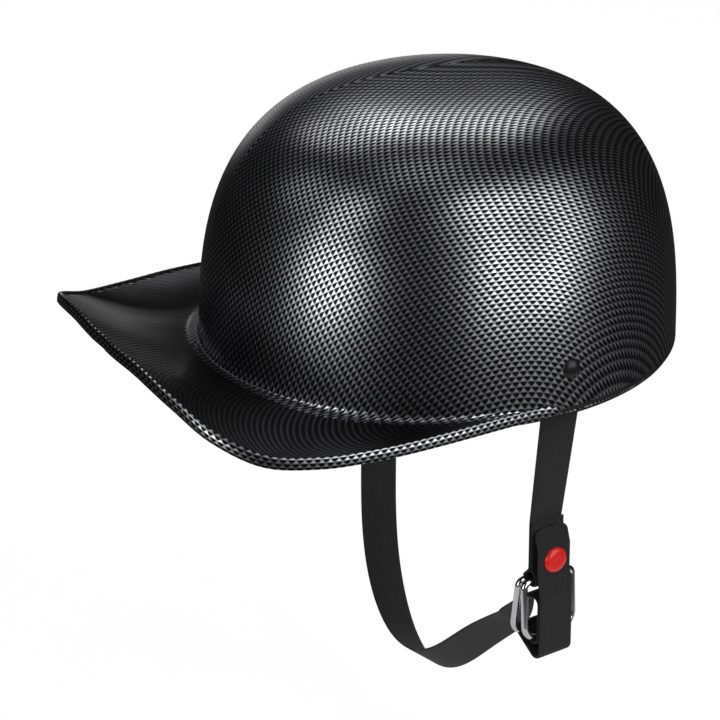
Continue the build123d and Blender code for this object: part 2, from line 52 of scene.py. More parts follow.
# %% Sizes of the shell
HALF_WIDTH, HALF_LENGTH, HEIGHT = 122.0, 136.0, 152.5
WALL, RIM_ROUND = 4.0, 1.2
RISE_POWER, ROUND_POWER = 2.88, 3.02
BRIM_REACH, BRIM_EDGE, BRIM_WALL, BRIM_SWEEP = 66.5, 32.0, 3.4, 97.5
LIP_HEIGHT, LIP_WIDTH, LIP_ROUND, BEAD = 6.6, 3.0, 1.5, 0.9
CREASE_FRONT, CREASE_SIDE, CREASE_ROUND, VALLEY = 10.1, 6.4, 2.2, 4.0
STATION_TURN = (0.0, 0.125, 0.22, 0.3, 0.375, 0.45, 0.54, 0.66, 0.79, 0.9, 1.0)
STATION_REACH = (1.0, 1.072, 1.165, 1.2, 1.11, 0.91, 0.665, 0.385, 0.16, 0.05, 0.0)
STATION_EDGE = (1.0, 1.01, 0.83, 0.48, 0.16, 0.07, 0.08, 0.10, 0.08, 0.04, 0.0)
MM = 0.001


def dome_share(z, height):
    """Radius share at a height: one minus the height share to one power, all to one over the other."""
    return np.clip(1 - np.clip(z / height, 0, 1) ** RISE_POWER, 0, 1) ** (1 / ROUND_POWER)


def dome_radius(turn, z, inset=0.0):
    """Distance from the upright axis at a turn from the front and a height, for an inset surface."""
    rim = 1 / np.hypot(np.sin(turn) / (HALF_WIDTH - inset), np.cos(turn) / (HALF_LENGTH - inset))
    return rim * dome_share(z, HEIGHT - inset)


def smooth_table(at, places, values):
    """Smooth curve through a table: cubic pieces whose slopes are those of the chords beside each point."""
    places, values = np.array(places), np.array(values)
    slopes = np.gradient(values, places)
    index = np.clip(np.searchsorted(places, at) - 1, 0, len(places) - 2)
    span = places[index + 1] - places[index]
    s = (at - places[index]) / span
    a, b = values[index], values[index + 1]
    c, d = slopes[index] * span, slopes[index + 1] * span
    return a * (1 + 2 * s) * (1 - s) ** 2 + c * s * (1 - s) ** 2 + b * s * s * (3 - 2 * s) + d * s * s * (s - 1)


# %% [markdown]
# Every new piece is a grid of points. One helper turns a grid into a mesh, joins its ends where it
# closes, welds the points that meet at a pole and turns the faces outward.

# %% From a grid of points to a mesh
def grid_piece(name, points, film=None, close_rows=False, close_columns=False, slots=None, stretch=None):
    """Mesh of the quads between neighbouring points of a grid, in millimetres, with an optional UV map."""
    rows, columns = points.shape[:2]
    i = np.arange(rows if close_rows else rows - 1)[:, None]
    j = np.arange(columns if close_columns else columns - 1)[None, :]
    i2, j2 = i + 1, j + 1
    corner = [(i, j), (i, j2), (i2, j2), (i2, j)]
    quads = np.stack([(a % rows) * columns + (b % columns) + 0 * (i + j) for a, b in corner], -1).reshape(-1, 4)
    mesh = bpy.data.meshes.new(name)
    mesh.from_pydata((points.reshape(-1, 3) * MM).tolist(), [], quads.tolist())
    if film is not None:
        wide = film.shape[1]
        uv = np.stack([film.reshape(-1, 2)[a * wide + b + 0 * (i + j)] for a, b in corner], 2).reshape(-1)
        mesh.uv_layers.new(name="film").data.foreach_set("uv", uv.astype(np.float32))
    if stretch is not None:
        mesh.attributes.new("stretch", "FLOAT", "POINT").data.foreach_set("value", stretch.reshape(-1).astype(np.float32))
    if slots is not None:
        mesh.polygons.foreach_set("material_index", slots.reshape(-1).astype(np.int32))
    solid = bmesh.new()
    solid.from_mesh(mesh)
    bmesh.ops.remove_doubles(solid, verts=solid.verts, dist=1e-6)
    bmesh.ops.recalc_face_normals(solid, faces=solid.faces)
    open_edges = sum(1 for edge in solid.edges if len(edge.link_faces) != 2)
    solid.to_mesh(mesh)
    solid.free()
    mesh.polygons.foreach_set("use_smooth", np.ones(len(mesh.polygons), bool))
    piece = bpy.data.objects.new(name, mesh)
    bpy.context.scene.collection.objects.link(piece)
    print(name, len(mesh.polygons), "faces", open_edges, "open edges")
    return piece


# %% [markdown]
# The shell is one closed skin. At each turn round the helmet one profile runs from the crown down the
# outside, through the crease, out over the brim, round its beaded lip, back underneath, round the rim
# and up the inside. Where there is no brim, the same points lie evenly down the wall.

# %% Profile of the shell
def shell_profile(turn):
    """Radius, height and part number of each profile point, for a column of turns in radians."""
    share = np.abs(np.degrees(turn)) / BRIM_SWEEP
    inside = np.clip(share, 0, 1)
    brim = np.clip((1 - share) / 0.05, 0, 1)
    brim = brim * brim * (3 - 2 * brim)
    reach = BRIM_REACH * smooth_table(inside, STATION_TURN, STATION_REACH) - 0.4 * inside
    edge = BRIM_EDGE * smooth_table(inside, STATION_TURN, STATION_EDGE)
    rim = dome_radius(turn, 0 * turn)
    out, crest = rim + reach, edge + LIP_HEIGHT
    crease = CREASE_SIDE + (CREASE_FRONT - CREASE_SIDE) * np.cos(inside * math.pi / 2) ** 2
    foot, root = out - LIP_WIDTH, rim - 3.7
    middle = np.where(reach > LIP_WIDTH, (rim + foot) / 2, (root + foot) / 2)
    valley = (crease + crest - LIP_ROUND) / 2 - VALLEY * reach / BRIM_REACH

    def hollow(s, low):
        """Parabola through the root, the valley's middle and the foot of the lip, at shares s."""
        m = (middle - root) / (foot - root + 1e-9)
        r = root + (foot - root) * s
        chord = crease + (crest - LIP_ROUND - crease) * s
        sag = valley - (crease + (crest - LIP_ROUND - crease) * m)
        return r, chord + sag * s * (1 - s) / np.clip(m * (1 - m), 0.05, 1) - low

    def arc(n, first=False):
        return (np.arange(0 if first else 1, n + 1) / n)[None, :]

    parts = []
    low = crease + CREASE_ROUND
    a0 = np.arcsin(np.clip(low / HEIGHT, 0, 1))
    angle = a0 + (math.pi / 2 - a0) * (1 - arc(95, True))
    z = HEIGHT * np.sin(angle)
    parts.append((dome_radius(turn, z), z, 0))
    s0 = np.clip((rim + CREASE_ROUND + 0.6 - root) / (foot - root + 1e-9), 0.02, 0.9)
    end_r, end_z = hollow(s0, 0)
    corner_r = dome_radius(turn, crease)
    s = arc(7)
    for_r = (1 - s) ** 2 * dome_radius(turn, low) + 2 * s * (1 - s) * corner_r + s * s * end_r
    for_z = (1 - s) ** 2 * low + 2 * s * (1 - s) * crease + s * s * end_z
    parts.append((for_r, for_z, 1))
    s = arc(26)
    r, z = hollow(s0 + (1 - s0) * s, 0)
    parts.append((r, z, 2))
    t = math.pi / 2 * arc(5)
    parts.append((foot + BEAD * (1 - np.cos(t)), crest - LIP_ROUND * (1 - np.sin(t)), 3))
    t = math.pi / 2 * arc(14)
    face_r, face_z = (LIP_WIDTH - BEAD) * np.sin(t) ** 0.85, (crest - edge - 0.6) * np.cos(t) ** 0.85
    parts.append((foot + BEAD + face_r, edge + 0.6 + face_z, 4))
    t = math.pi / 2 * arc(3)
    parts.append((out - 0.6 * (1 - np.cos(t)), edge + 0.6 * (1 - np.sin(t)), 5))
    s = arc(2)
    parts.append((out - 0.6 + (LIP_WIDTH - 1.2) * -s, edge + 0 * s, 6))
    parts.append((foot + 0.6 * (1 - np.sin(t)), edge + 0.6 * (1 - np.cos(t)), 6))
    s = arc(3)
    under = crest - LIP_ROUND - BRIM_WALL
    parts.append((foot + 0 * s, edge + 0.6 + (under - edge - 0.6) * s, 6))
    s = 1 - arc(16) * (1 - 3.7 / np.clip(foot - root, 4, None))
    r, z = hollow(s, BRIM_WALL)
    parts.append((r, z, 6))
    s = arc(4)
    z_in = np.clip(z[:, -1:], RIM_ROUND + 0.2, None)
    parts.append((dome_radius(turn, z_in + (RIM_ROUND - z_in) * s), z_in + (RIM_ROUND - z_in) * s, 7))
    radius = np.concatenate([p[0] + 0 * p[1] for p in parts], 1)
    height = np.concatenate([p[1] + 0 * p[0] for p in parts], 1)
    number = np.concatenate([np.full(p[1].shape[1], p[2]) for p in parts])
    first = np.argmax(number > 0)
    steps = np.linspace(0, 1, len(number) - first + 1)[None, 1:]
    plain_z = low + (RIM_ROUND - low) * steps
    plain_r = dome_radius(turn, plain_z)
    height[:, first:] = plain_z + (height[:, first:] - plain_z) * brim
    wall = dome_radius(turn, height[:, first:])
    radius[:, first:] = np.maximum(plain_r + (radius[:, first:] - plain_r) * brim, wall)
    t = math.pi / 2 * arc(4)
    rim_r = rim - RIM_ROUND * (1 - np.cos(t))
    rim_z = RIM_ROUND * (1 - np.sin(t)) + 0 * rim
    inner = np.sin(math.pi / 2 * np.linspace(0, 1, 56))[None, :] * (HEIGHT - WALL)
    radius = np.concatenate([radius, rim_r, dome_radius(turn, inner, WALL)], 1)
    height = np.concatenate([height, rim_z, inner + 0 * turn], 1)
    number = np.concatenate([number, np.full(4, 7), np.full(56, 8)])
    return radius, height, number


turns = np.radians(np.linspace(-180, 180, 345)[:-1] + 0.5)[:, None]
shell_r, shell_z, shell_part = shell_profile(turns)
shell_points = np.stack([shell_r * np.sin(turns), -shell_r * np.cos(turns), shell_z], -1)
print("shell profile", shell_points.shape, "front reach", round(float(shell_r.max()), 1))

# %% [markdown]
# The finish of this shell is a carbon-look film, printed flat, floated on water and wrapped over the
# shell as it is dipped. So its rows run straight in the middle of the side and bend and stretch away
# from there. Two smooth cubics of the place on the dome say how far along the film's weave each
# point lies: one counts columns, one counts rows. Past the far side the film mirrors itself at a seam.
# On the brim the film is pulled outward, so its columns fan out and its rows lie far apart, and they
# close up again over the lip.

# %% Film coordinates
FILM_POWERS = [(i, j, d - i - j) for d in (1, 2, 3) for i in range(d + 1) for j in range(d + 1 - i)]
FILM_COLUMNS = (-18.6, 44.5, 42.3, 2.2, -18.8, 12.9, 19.9, -4.1, -1.8, 10.7, -12.5, -6.7, -6.7, -15.1, 17.0,
                -3.4, 3.6, -10.9, -5.2)
FILM_ROWS = (21.7, 27.9, -41.7, 19.0, -24.8, -0.3, 12.4, 0.2, -38.3, -21.4, 9.7, -14.6, 2.9, 5.0, 14.6, 12.6,
             6.9, -15.0, 11.8)
FILM_SEAM = -25.0
TWIST, LIP_COLUMN, LIP_ROW = 16.0, 4.6, 2.2


def film_place(points):
    """Columns and rows of the weave: each a sum of products of the three place shares up to the third power."""
    x = points[..., 0]
    over = (FILM_SEAM - x) / (HALF_WIDTH + FILM_SEAM)
    x = np.where(x < FILM_SEAM, FILM_SEAM + over * (HALF_WIDTH - FILM_SEAM), x)
    place = (x / HALF_WIDTH, points[..., 1] / HALF_LENGTH, points[..., 2] / HEIGHT)
    terms = [place[0] ** i * place[1] ** j * place[2] ** k for i, j, k in FILM_POWERS]
    return np.stack([sum(c * t for c, t in zip(FILM_COLUMNS, terms)), sum(c * t for c, t in zip(FILM_ROWS, terms))], -1)


film = film_place(shell_points)
crease_at, lip_at = int(np.argmax(shell_part == 2)), int(np.argmax(shell_part == 3))
step = np.linalg.norm(np.diff(shell_points, axis=1), axis=2)
run = np.concatenate([np.zeros((len(turns), 1)), np.cumsum(step * (shell_part[1:] == 2), 1)], 1)
down = np.concatenate([np.zeros((len(turns), 1)), np.cumsum(step * (shell_part[1:] > 2), 1)], 1)
width = run[:, lip_at - 1:lip_at]
drawn = turns - math.radians(TWIST) * np.clip(run / (width + 1e-6), 0, 1) ** 1.5
at_crease = film[:, crease_at, 0]
ahead = turns[:, 0] < math.radians(6)
last = int(ahead.sum())
pitch = (at_crease[last + 8] - at_crease[last]) / (turns[last + 8, 0] - turns[last, 0])
at_crease = np.where(ahead, at_crease[last] + pitch * (turns[:, 0] - turns[last, 0]), at_crease)
columns = np.interp(drawn, turns[:, 0], at_crease)
lip = shell_points[:, lip_at + 8]
round_lip = np.concatenate([[0], np.cumsum(np.linalg.norm(np.diff(lip, axis=0), axis=1))])[:, None]
on_lip = (shell_part > 2)[None, :]
film_brim = np.stack([np.where(on_lip, round_lip / LIP_COLUMN, columns),
                      np.where(on_lip, -down / LIP_ROW, film[:, crease_at, 1:] - run / 14)], -1)
on_brim = (np.abs(np.degrees(turns)) < BRIM_SWEEP * 0.985) & (np.arange(film.shape[1]) > crease_at)[None, :]
film = np.where(on_brim[..., None], film_brim, film)
stretch = np.clip(run / 1.6, 0, 1) * np.clip((width - run) / 1.5, 0, 1) * on_brim * ~on_lip
film = np.concatenate([film, film[:1]], 0)
slots = np.broadcast_to((shell_part[1:] > 5) & (shell_part[1:] != 7), (len(turns), film.shape[1] - 1)).astype(int)
shell_skin = grid_piece("shell_skin", shell_points, film, close_rows=True, slots=slots, stretch=stretch)
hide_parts("outer_shell")
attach(shell_skin, "helmet")


# %% [markdown]
# Finishes are node trees. A small class stands for one socket, so that sums and products in Python
# become Math nodes, and one method adds any other node.

# %% Shader helpers
class Wire:
    """A shader socket that can be added, taken away, multiplied, divided and raised."""

    def __init__(self, finish, socket):
        self.finish, self.socket = finish, socket

    def math(self, operation, *others):
        return self.finish.add("ShaderNodeMath", {"operation": operation}, dict(enumerate((self, *others))))

    def __add__(self, other):
        return self.math("ADD", other)

    __radd__ = __add__

    def __mul__(self, other):
        return self.math("MULTIPLY", other)

    __rmul__ = __mul__

    def __sub__(self, other):
        return self.math("SUBTRACT", other)

    def __rsub__(self, other):
        return self.finish.add("ShaderNodeMath", {"operation": "SUBTRACT"}, {0: other, 1: self})

    def __pow__(self, other):
        return self.math("POWER", other)

    def step(self, low, high):
        """Smooth step from nothing at one value to one at another."""
        settings = {"interpolation_type": "SMOOTHSTEP"}
        return self.finish.add("ShaderNodeMapRange", settings, {"Value": self, "From Min": low, "From Max": high})


class Finish:
    """A material whose nodes are added by name, settings and inputs."""

    def __init__(self, name):
        self.material = bpy.data.materials.new(name)
        self.material.use_nodes = True
        self.tree = self.material.node_tree
        self.tree.nodes.clear()

    def add(self, kind, settings=None, inputs=None, output=0):
        node = self.tree.nodes.new(kind)
        for key, value in (settings or {}).items():
            setattr(node, key, value)
        for key, value in (inputs or {}).items():
            if isinstance(value, Wire):
                self.tree.links.new(value.socket, node.inputs[key])
            else:
                node.inputs[key].default_value = value
        return Wire(self, node.outputs[output])

    def shader(self, colour, roughness, bump=None, **extra):
        """Principled shader with an optional bump of (height, distance, strength)."""
        inputs = {"Base Color": colour, "Roughness": roughness}
        inputs.update({key.replace("_", " "): value for key, value in extra.items()})
        if bump:
            height, distance, strength = bump
            inputs["Normal"] = self.add("ShaderNodeBump", {}, {"Height": height, "Distance": distance, "Strength": strength})
        return self.add("ShaderNodeBsdfPrincipled", {}, inputs)

    def done(self, shader):
        out = self.tree.nodes.new("ShaderNodeOutputMaterial")
        self.tree.links.new(shader.socket, out.inputs["Surface"])
        return self.material

    def noise(self, vector, scale, detail=2.0):
        return self.add("ShaderNodeTexNoise", {}, {"Vector": vector, "Scale": scale, "Detail": detail})

    def mix(self, factor, a, b):
        return self.add("ShaderNodeMix", {"data_type": "RGBA"}, {0: factor, 6: a, 7: b}, output=2)


def grey(value, tint=(1.0, 1.0, 1.0)):
    return (value * tint[0], value * tint[1], value * tint[2], 1.0)


# %% [markdown]
# The film's ink: a brick weave of silver scales on black. Three cosine waves make it, one along the rows
# and one along each diagonal, and the row wave runs a little ahead, which rounds the scales, joins them
# at their shoulders and leaves small dark gaps between. The silver ink is metallic and the black is
# dull, so the weave shows most where the light falls.

# %% Finish of the shell
def print_finish():
    f = Finish("carbon_look_film")
    place = f.add("ShaderNodeUVMap", {"uv_map": "film"})
    columns = f.add("ShaderNodeSeparateXYZ", {}, {0: place}, output=0)
    rows = f.add("ShaderNodeSeparateXYZ", {}, {0: place}, output=1)
    tau = 2 * math.pi
    left = (columns * tau - rows * math.pi).math("COSINE")
    right = (columns * tau + rows * math.pi).math("COSINE")
    across = (rows * tau + 2.1).math("COSINE")
    weave = 0.92 * left + 0.9 * right + 0.98 * across
    bands = (columns * tau).math("COSINE") * 0.35 - 0.24
    stretch = f.add("ShaderNodeAttribute", {"attribute_name": "stretch"}, {}, output=2)
    scale = (weave + (bands - weave) * stretch).step(-0.9, 1.9)
    solid = f.add("ShaderNodeTexCoord", {}, {}, output=3)
    cloud = f.noise(solid, 35.0)
    tone = scale * (0.82 + 0.3 * cloud)
    ink = f.mix(tone, grey(0.003), grey(0.66, (0.97, 0.98, 1.04)))
    dye = f.mix(cloud, grey(0.002), grey(0.005))
    grain = f.noise(solid, 2400.0, 1.0)
    silver = f.shader(ink, 0.29 + 0.05 * grain, bump=(tone, 0.00006, 0.5), Metallic=1.0, Specular_IOR_Level=0.5)
    black = f.shader(dye, 0.42 + 0.05 * grain, Specular_IOR_Level=0.06)
    both = f.add("ShaderNodeMixShader", {}, {0: tone.step(0.0, 0.6), 1: black, 2: silver})
    return f.done(both)


def plastic_finish(name, value, roughness, spec):
    """Moulded black plastic: faint mottling in its colour and gloss, and a fine grain."""
    f = Finish(name)
    solid = f.add("ShaderNodeTexCoord", {}, {}, output=3)
    mottle = f.noise(solid, 60.0, 3.0)
    grain = f.noise(solid, 1600.0, 2.0)
    colour = f.mix(mottle, grey(value * 0.75), grey(value * 1.3))
    return f.done(f.shader(colour, roughness - 0.06 + 0.12 * mottle, bump=(grain, 0.00008, 0.35), Specular_IOR_Level=spec))


shell_skin.data.materials.append(print_finish())
shell_skin.data.materials.append(plastic_finish("shell_inside", 0.012, 0.5, 0.3))

# %% [markdown]
# The webbing is narrow woven tape, about 1.6 mm thick, with firm edges. It follows one path from the
# sewn end at each hanger to the buckle. The path is worked out flat, as straight runs and arcs, and then
# stood up in its plane, and the long hanging run is a smooth curve through its stations.

# %% Paths of flat runs, arcs and smooth curves
RIVET_Y, RIVET_Z = 18.75, 26.2
BUCKLE = np.array([101.6, 16.2, -105.5])
YAW = math.radians(12)
OUTWARD = np.array([math.cos(YAW), math.sin(YAW), 0.0])
BESIDE = np.array([-math.sin(YAW), math.cos(YAW), 0.0])
UP = np.array([0.0, 0.0, 1.0])


def rounded_path(points, radii):
    """Points along straight runs whose corners are arcs of the given radii, tangent to both runs."""
    points = np.array(points, float)
    out = [points[:1]]
    for before, corner, after, radius in zip(points, points[1:], points[2:], radii):
        a, b = before - corner, after - corner
        a, b = a / np.linalg.norm(a), b / np.linalg.norm(b)
        half = math.acos(np.clip(a @ b, -1, 1)) / 2
        middle = corner + (a + b) / np.linalg.norm(a + b) * radius / math.sin(half)
        start, end = corner + a * radius / math.tan(half), corner + b * radius / math.tan(half)
        u, v = start - middle, end - middle
        sweep = math.atan2(u[0] * v[1] - u[1] * v[0], u @ v)
        t = np.linspace(0, sweep, max(4, int(abs(sweep) * radius / 0.5)))[:, None]
        side = np.array([-u[1], u[0]])
        out.append(middle + u * np.cos(t) + side * np.sin(t))
    return np.concatenate(out + [points[-1:]])


def flat_arc(centre, radius, start, sweep):
    """Points round a centre from a start angle through a sweep, both in degrees."""
    t = np.radians(start + np.linspace(0, sweep, max(4, int(abs(sweep) / 8))))[:, None]
    return np.array(centre) + radius * np.concatenate([np.cos(t), np.sin(t)], 1)


def smooth_curve(points, count):
    """Natural cubic spline through points by chord length: second slopes solve a three-band system."""
    points = np.array(points, float)
    chord = np.linalg.norm(np.diff(points[:, :3], axis=0), axis=1)
    knots = np.concatenate([[0], np.cumsum(chord)])
    n = len(points)
    bands = np.eye(n)
    right = np.zeros_like(points)
    for k in range(1, n - 1):
        bands[k, k - 1:k + 2] = chord[k - 1], 2 * (chord[k - 1] + chord[k]), chord[k]
        right[k] = 6 * ((points[k + 1] - points[k]) / chord[k] - (points[k] - points[k - 1]) / chord[k - 1])
    bend = np.linalg.solve(bands, right)
    at = np.linspace(0, knots[-1], count)
    i = np.clip(np.searchsorted(knots, at) - 1, 0, n - 2)
    h, x = chord[i][:, None], (at - knots[i])[:, None]
    slope = (points[i + 1] - points[i]) / h - h * (2 * bend[i] + bend[i + 1]) / 6
    return points[i] + slope * x + bend[i] / 2 * x**2 + (bend[i + 1] - bend[i]) / (6 * h) * x**3


def even(path, step):
    """The same path with points an even step apart, by length along it."""
    path = path[np.concatenate([[True], np.linalg.norm(np.diff(path[:, :3], axis=0), axis=1) > 1e-6])]
    length = np.concatenate([[0], np.cumsum(np.linalg.norm(np.diff(path[:, :3], axis=0), axis=1))])
    at = np.linspace(0, length[-1], max(3, int(length[-1] / step)))
    return np.stack([np.interp(at, length, path[:, k]) for k in range(path.shape[1])], 1)


def hang_path(flat):
    """Flat path beside the rivet stood up across the helmet, with the tape's width along Y."""
    flat = np.array(flat)
    place = np.stack([flat[:, 0], np.full(len(flat), RIVET_Y), RIVET_Z + flat[:, 1]], 1)
    return np.concatenate([place, np.tile([0.0, 1.0, 0.0], (len(flat), 1))], 1)


def buckle_path(flat):
    """Flat path in the buckle stood up in its plane, with the tape's width beside it."""
    flat = np.array(flat)
    place = BUCKLE + flat[:, :1] * OUTWARD + flat[:, 1:2] * UP
    return np.concatenate([place, np.tile(BESIDE, (len(flat), 1))], 1)


# %% Tape along a path
TAPE_WIDTH, TAPE_THICK = 23.0, 1.6


def tape(name, path, round_start=0.0, round_end=0.0, around=44):
    """Closed tape: a flat superellipse across the width at every path point, drawn in at rounded ends."""
    path = even(path, 0.7)
    place, across = path[:, :3], path[:, 3:]
    along = np.gradient(place, axis=0)
    along /= np.linalg.norm(along, axis=1, keepdims=True)
    across = across - (across * along).sum(1, keepdims=True) * along
    across /= np.linalg.norm(across, axis=1, keepdims=True)
    normal = np.cross(along, across)
    t = np.linspace(0, 2 * math.pi, around, endpoint=False)
    wide = np.sign(np.cos(t)) * np.abs(np.cos(t)) ** 0.16
    thick = np.sign(np.sin(t)) * np.abs(np.sin(t)) ** 0.7
    length = np.concatenate([[0], np.cumsum(np.linalg.norm(np.diff(place, axis=0), axis=1))])
    half = np.full(len(place), TAPE_WIDTH / 2 - 0.05)
    for distance, corner in ((length, round_start), (length[-1] - length, round_end)):
        if corner:
            near = np.clip(corner - distance, 0, corner)
            half = np.minimum(half, TAPE_WIDTH / 2 - corner + np.sqrt(corner**2 - near**2))
    body = TAPE_THICK / 2 - 0.03
    points = (place[:, None] + half[:, None, None] * wide[None, :, None] * across[:, None]
              + body * thick[None, :, None] * normal[:, None])
    film = np.stack([np.broadcast_to(half[:, None] * wide[None], points.shape[:2]),
                     np.broadcast_to(length[:, None], points.shape[:2])], -1)
    caps = [np.broadcast_to(place[k], (1, around, 3)) for k in (0, -1)]
    points = np.concatenate([caps[0], points, caps[1]], 0)
    film = np.concatenate([film[:1], film, film[-1:]], 0)
    film = np.concatenate([film, film[:, :1]], 1)
    return grid_piece(name, points, film, close_columns=True)


# %% [markdown]
# The tape's routes. At each hanger it is folded over the bar and sewn to itself. The short side ends in
# a sewn loop round the bars of both rings. The long side hangs under the chin, goes up through both
# rings, over the outer bow and back under the inner one, and its free end folds up to the snap.

# %% Routes
OUTER_RUN, INNER_RUN = 113.05, 109.25
BAR_TOP, HANGER_BAR, LAYER = -12.8, 3.4, 1.7
TURN_RADIUS = (OUTER_RUN - INNER_RUN) / 2 - 0.1


def hanger_fold(side):
    """Sewn end, fold over the hanger's bar and the run down to the rim."""
    beside = INNER_RUN + LAYER
    corners = [(beside, -25.4), (beside, -20.6), (OUTER_RUN, BAR_TOP - HANGER_BAR), (OUTER_RUN, BAR_TOP + 1.15),
               (INNER_RUN, BAR_TOP + 1.15), (INNER_RUN, -29.0)]
    return hang_path(rounded_path([(side * x, y) for x, y in corners], [TURN_RADIUS] * 4))


LOOP_OUT, LOOP_LOW, FLAT_START = 5.25, -3.1, 6.0
OUTER_ARC, INNER_ARC, THREAD = (3.929, -33.953), (-6.882, -33.669), 3.6
FRONT_RUN, TAB_RUN, SNAP_RUN, FOLD = 7.529, 9.429, 6.85, (5.429, -42.0)
ARCH = -9.6
LEAVE, TAIL = 226.75, 234.37


def on_circle(centre, radius, angle):
    return (centre[0] + radius * math.cos(math.radians(angle)), centre[1] + radius * math.sin(math.radians(angle)))


ring_loop = rounded_path(
    [(-LAYER / 2, 34.0), (-LAYER / 2, FLAT_START), (-LOOP_OUT, 1.55), (-LOOP_OUT, LOOP_LOW), (LOOP_OUT, LOOP_LOW),
     (LOOP_OUT, 1.55), (LAYER / 2, FLAT_START), (LAYER / 2, 33.5)], [3.1, 1.55, 3.1, 3.1, 1.55, 3.1])
left_path = np.concatenate([hanger_fold(1), buckle_path(ring_loop)])
strap_left = tape("strap_left_tape", left_path)

threading = np.concatenate([
    rounded_path([(-24, -28), (-LOOP_OUT / 2, ARCH), (FRONT_RUN, ARCH), (FRONT_RUN, OUTER_ARC[1])], [11, 4]),
    flat_arc(OUTER_ARC, THREAD, 0, LEAVE - 360)[1:],
    flat_arc(INNER_ARC, THREAD, LEAVE - 180, TAIL - LEAVE + 180),
    flat_arc(FOLD, 4.0, TAIL, 270 - TAIL),
])
stations = ((-0.993, 0.260, 0.930, 0), (-0.963, 0.440, 0.820, 0), (-0.927, 0.602, 0.700, 0),
            (-0.867, 0.770, 0.590, -3), (-0.743, 0.905, 0.510, -11), (-0.532, 0.990, 0.430, -25),
            (-0.275, 1.003, 0.380, -37), (-0.037, 0.954, 0.430, -38), (0.183, 0.868, 0.530, -35),
            (0.394, 0.776, 0.660, -31), (0.568, 0.700, 0.780, -20))
top = hanger_fold(-1)
entry = buckle_path(threading[:1])[0]
places = [top[-1, :3]] + [np.array([109.0 * a, RIVET_Y * c, -216.0 * b]) for a, b, c, d in stations] + [entry[:3]]
hanging = [top[-1]]
for number, (a, b, c, turn) in enumerate(stations):
    run = places[number + 2] - places[number]
    run /= np.linalg.norm(run)
    flat = np.array([0.0, 1.0, 0.0]) - run * run[1]
    flat /= np.linalg.norm(flat)
    angle = math.radians(turn)
    edge = flat * math.cos(angle) + np.cross(run, flat) * math.sin(angle)
    hanging.append(np.concatenate([places[number + 1], edge]))
hanging.append(entry)
right_path = np.concatenate([top, smooth_curve(hanging, 700)[1:-1], buckle_path(threading)])
strap_right = tape("strap_right_tape", right_path)

tab_flat = rounded_path(
    [(FOLD[0] + 0.05, -46.0), (TAB_RUN, -46.0), (TAB_RUN, ARCH), (SNAP_RUN, 4.5), (SNAP_RUN, 19.5), (3.4, 31.0)],
    [3.95, 4, 4, 4])
strap_tab = tape("strap_tab_tape", buckle_path(tab_flat), round_end=5.0)
for piece, node, body in ((strap_left, "strap_left", "chin_strap"), (strap_right, "strap_right", "chin_strap"),
                          (strap_tab, "strap_tab", "snap_flap")):
    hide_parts(node)
    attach(piece, body)


# %% [markdown]
# Black nylon tape: long ribs about a millimetre apart, crossed by the fine picks of the weft, with
# firmer edges. The tape's own map gives the place across and along it in millimetres.

# %% Finish of the webbing
def webbing_finish():
    f = Finish("black_webbing")
    place = f.add("ShaderNodeUVMap", {"uv_map": "film"})
    across = f.add("ShaderNodeSeparateXYZ", {}, {0: place}, output=0)
    along = f.add("ShaderNodeSeparateXYZ", {}, {0: place}, output=1)
    rib = (across * (2 * math.pi / 1.15)).math("COSINE")
    pick = (along * (2 * math.pi / 0.9) + rib * 1.3).math("SINE")
    solid = f.add("ShaderNodeTexCoord", {}, {}, output=3)
    fuzz = f.noise(solid, 900.0, 3.0)
    wear = f.noise(solid, 30.0, 2.0)
    weave = 0.5 + 0.25 * rib + 0.25 * pick * (0.6 + 0.4 * rib)
    shade = weave * 0.7 + fuzz * 0.5 - 0.1 + wear * 0.2
    colour = f.mix(shade.step(0.1, 1.1), grey(0.004), grey(0.024, (1.0, 1.0, 1.02)))
    cloth = f.shader(colour, 0.78 + 0.12 * fuzz, bump=(weave + 0.5 * fuzz, 0.00025, 0.7), Specular_IOR_Level=0.3,
                     Sheen_Weight=0.12, Sheen_Roughness=0.5)
    return f.done(cloth)


webbing_material = webbing_finish()
for piece in (strap_left, strap_right, strap_tab):
    piece.data.materials.append(webbing_material)

# %% [markdown]
# Sewing. Each box with its cross is a row of short threads, every one a little grain of thread laid
# along the line and pulled down at its ends.

# %% Sewn boxes
def stitch_line(a, b, pitch=2.6):
    """Middles and headings of stitches evenly along a line."""
    a, b = np.array(a, float), np.array(b, float)
    count = max(1, int(round(np.linalg.norm(b - a) / pitch)))
    s = (np.arange(count) + 0.5) / count
    heading = math.atan2(b[1] - a[1], b[0] - a[0])
    return [(*(a + (b - a) * k), heading) for k in s]


